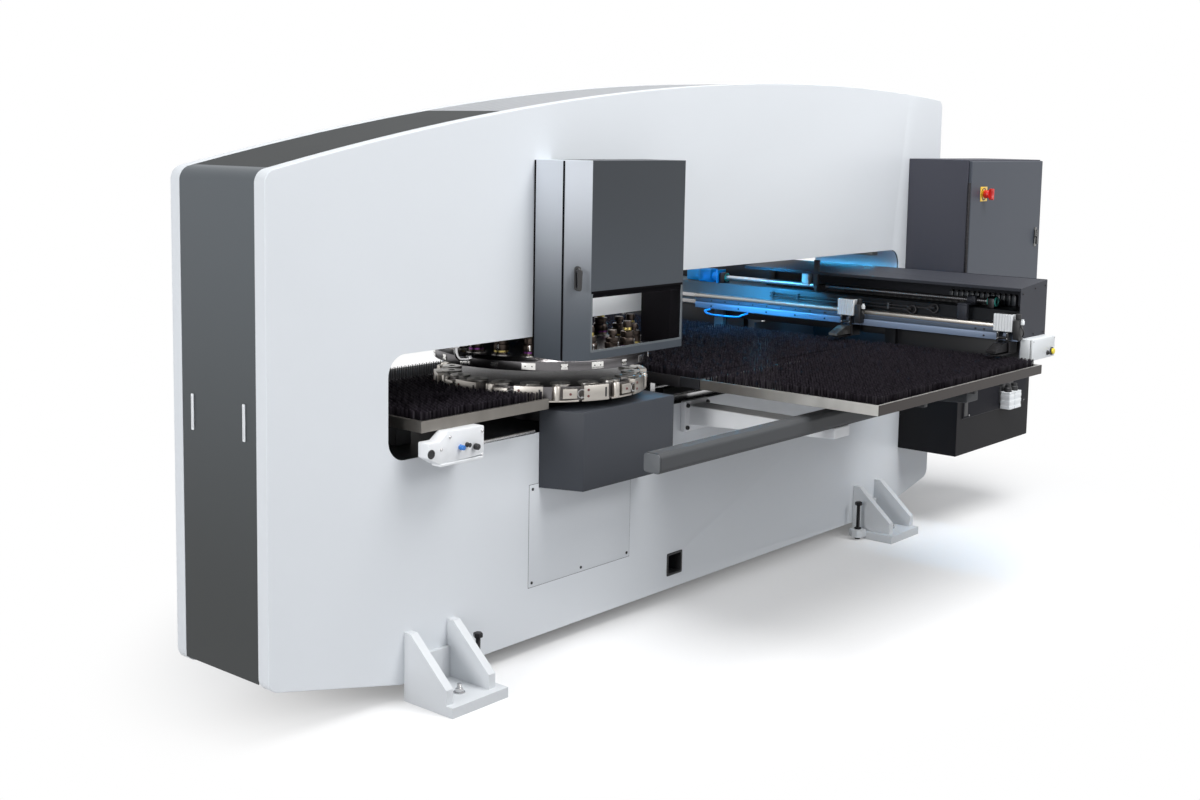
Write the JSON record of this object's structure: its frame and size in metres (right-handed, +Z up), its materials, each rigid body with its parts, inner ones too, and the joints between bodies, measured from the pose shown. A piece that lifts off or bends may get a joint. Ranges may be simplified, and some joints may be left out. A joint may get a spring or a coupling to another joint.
{
  "type": "cnc turret punch press",
  "caption": "O-frame turret punch press with brush tables, travelling bridge with sheet clamps and control cabinet.",
  "frame": {"origin": "on the floor, at the centre of the four anchor holes in the feet", "axes": "+X along the frame from the turret end to the feed end, -Y towards the operator, +Z up"},
  "size_m": [5.255, 2.71, 2.3518],
  "materials": {
    "panel_white": "satin light grey-white paint",
    "trim_dark": "satin dark grey paint",
    "roof_grey": "satin light grey paint",
    "frame_paint": "matt dark paint",
    "casting_white": "satin light grey paint on a casting",
    "black_steel": "oiled black steel",
    "bright_steel": "ground steel",
    "turret_steel": "turned steel",
    "punch_black": "black oxide steel",
    "plate_bright": "bright",
    "table_edge": "brushed",
    "brush_black": "bristle",
    "beam_grey": "satin dark grey paint",
    "bridge_dark": "satin dark paint",
    "clamp_rail": "ground steel",
    "clamp_white": "bright",
    "box_white": "satin white paint",
    "button_yellow": "gloss",
    "cabinet_grey": "satin dark grey paint",
    "door_grey": "satin dark grey paint",
    "switch_yellow": "gloss",
    "switch_red": "gloss",
    "panel_black": "gloss",
    "air_white": "satin light grey paint",
    "knob_black": "matt",
    "motor_blue": "satin paint"
  },
  "bodies": {
    "frame": {"frame_weldment": "frame_paint", "front_side_panel": "panel_white", "rear_side_panel": "panel_white", "roof_cover_front": "trim_dark", "roof_cover_rear": "roof_grey", "end_covers": "trim_dark", "end_cover_grips": "clamp_white", "access_hatch": "panel_white", "feet": "casting_white", "levelling_screws": "black_steel", "pedestals": "trim_dark", "head_guard": "trim_dark", "rear_head_guard": "trim_dark", "door_hinges": "black_steel", "turret_bearings": "black_steel", "ram_cylinder": "bright_steel", "left_table": "table_edge", "centre_table": "table_edge", "fixed_table_brushes": "brush_black", "table_posts": "frame_paint", "guide_beams": "beam_grey", "beam_arms": "casting_white", "travel_rails": "bright_steel", "cabinet": "cabinet_grey", "lower_panel": "panel_black", "air_valve": "clamp_white", "air_unit": "air_white"},
    "upper_turret": {"upper_turret": "turret_steel", "punch_holders": "punch_black", "station_plates": "plate_bright"},
    "lower_turret": {"lower_turret": "turret_steel", "die_holders": "bright_steel"},
    "ram": {"ram_striker": "bright_steel"},
    "bridge": {"saddles": "bridge_dark", "slide_blocks": "bright_steel", "bridge_beam": "bridge_dark", "clamp_guides": "bright_steel", "clamp_screw_bearings": "black_steel", "clamp_motor": "motor_blue", "hood": "bridge_dark", "front_table": "table_edge", "rear_table": "table_edge", "side_table_brushes": "brush_black", "button_box": "box_white"},
    "drive_screw": {"drive_screw": "bright_steel"},
    "clamp_bar": {"clamp_bar": "clamp_rail", "clamp_screw_nut": "bridge_dark", "clamp_bodies": "black_steel", "clamp_cylinders": "clamp_white"},
    "clamp_screw": {"clamp_screw": "bright_steel"},
    "clamp_jaw_near": {"clamp_jaw_near": "black_steel"},
    "clamp_jaw_far": {"clamp_jaw_far": "black_steel"},
    "head_guard_door": {"head_guard_door": "door_grey"},
    "head_guard_handle": {"head_guard_handle": "knob_black"},
    "cabinet_door": {"cabinet_door": "door_grey", "door_plates": "switch_yellow"},
    "latch_lever": {"latch_lever": "knob_black"},
    "switch_handle": {"switch_handle": "switch_red"},
    "push_button": {"push_button": "button_yellow"},
    "air_unit_knob": {"air_unit_knob": "knob_black"}
  },
  "joints": [
    {"name": "upper_turret_spin", "type": "hinge", "parent": "frame", "child": "upper_turret", "pos_m": [-0.713, 0, 1.186], "axis": [0, 0, 1], "continuous": true},
    {"name": "lower_turret_spin", "type": "hinge", "parent": "frame", "child": "lower_turret", "pos_m": [-0.713, 0, 1.068], "axis": [0, 0, 1], "continuous": true},
    {"name": "ram_stroke", "type": "slide", "parent": "frame", "child": "ram", "axis": [0, 0, 1], "range_m": [-0.031, 0]},
    {"name": "bridge_travel", "type": "slide", "parent": "frame", "child": "bridge", "axis": [1, 0, 0], "range_m": [-1.2, 0]},
    {"name": "drive_screw_spin", "type": "hinge", "parent": "frame", "child": "drive_screw", "pos_m": [0.813, -0.11, 0.958], "axis": [1, 0, 0], "range_deg": [-10810, 10]},
    {"name": "clamp_travel", "type": "slide", "parent": "bridge", "child": "clamp_bar", "axis": [0, 1, 0], "range_m": [0, 1.25]},
    {"name": "clamp_screw_spin", "type": "hinge", "parent": "bridge", "child": "clamp_screw", "pos_m": [1.37, -0.2575, 1.322], "axis": [0, 1, 0], "range_deg": [-10, 11260]},
    {"name": "clamp_near_open", "type": "hinge", "parent": "clamp_bar", "child": "clamp_jaw_near", "pos_m": [1.24, -1.18, 1.14], "axis": [0, 1, 0], "range_deg": [0, 8]},
    {"name": "clamp_far_open", "type": "hinge", "parent": "clamp_bar", "child": "clamp_jaw_far", "pos_m": [1.24, -0.33, 1.14], "axis": [0, 1, 0], "range_deg": [0, 8]},
    {"name": "head_guard_swing", "type": "hinge", "parent": "frame", "child": "head_guard_door", "pos_m": [-0.3597, -0.429, 1.6], "axis": [0, 0, 1], "range_deg": [0, 110]},
    {"name": "head_guard_handle_turn", "type": "hinge", "parent": "head_guard_door", "child": "head_guard_handle", "pos_m": [-1.009, -0.4513, 1.567], "axis": [-0.5377, -0.8431, 0], "range_deg": [0, 90]},
    {"name": "cabinet_door_swing", "type": "hinge", "parent": "frame", "child": "cabinet_door", "pos_m": [1.9367, -0.6223, 1.4], "axis": [0, 0, -1], "range_deg": [0, 110]},
    {"name": "latch_turn", "type": "hinge", "parent": "cabinet_door", "child": "latch_lever", "pos_m": [2.773, -0.64, 1.555], "axis": [0, 1, 0], "range_deg": [0, 90]},
    {"name": "switch_turn", "type": "hinge", "parent": "cabinet_door", "child": "switch_handle", "pos_m": [2.093, -0.65, 1.811], "axis": [0, 1, 0], "range_deg": [0, 90]},
    {"name": "button_press", "type": "slide", "parent": "bridge", "child": "push_button", "axis": [0, 1, 0], "range_m": [0, 0.006], "stiffness_N_per_m": 800},
    {"name": "air_knob_turn", "type": "hinge", "parent": "frame", "child": "air_unit_knob", "pos_m": [-1.502, -0.403, 0.943], "axis": [0, 1, 0], "range_deg": [0, 270]}
  ],
  "couplings": [
    {"joint": "lower_turret_spin", "follows": "upper_turret_spin", "ratio": 1},
    {"joint": "drive_screw_spin", "follows": "bridge_travel", "rad_per_m": 157.08},
    {"joint": "clamp_screw_spin", "follows": "clamp_travel", "rad_per_m": 157.08}
  ]
}
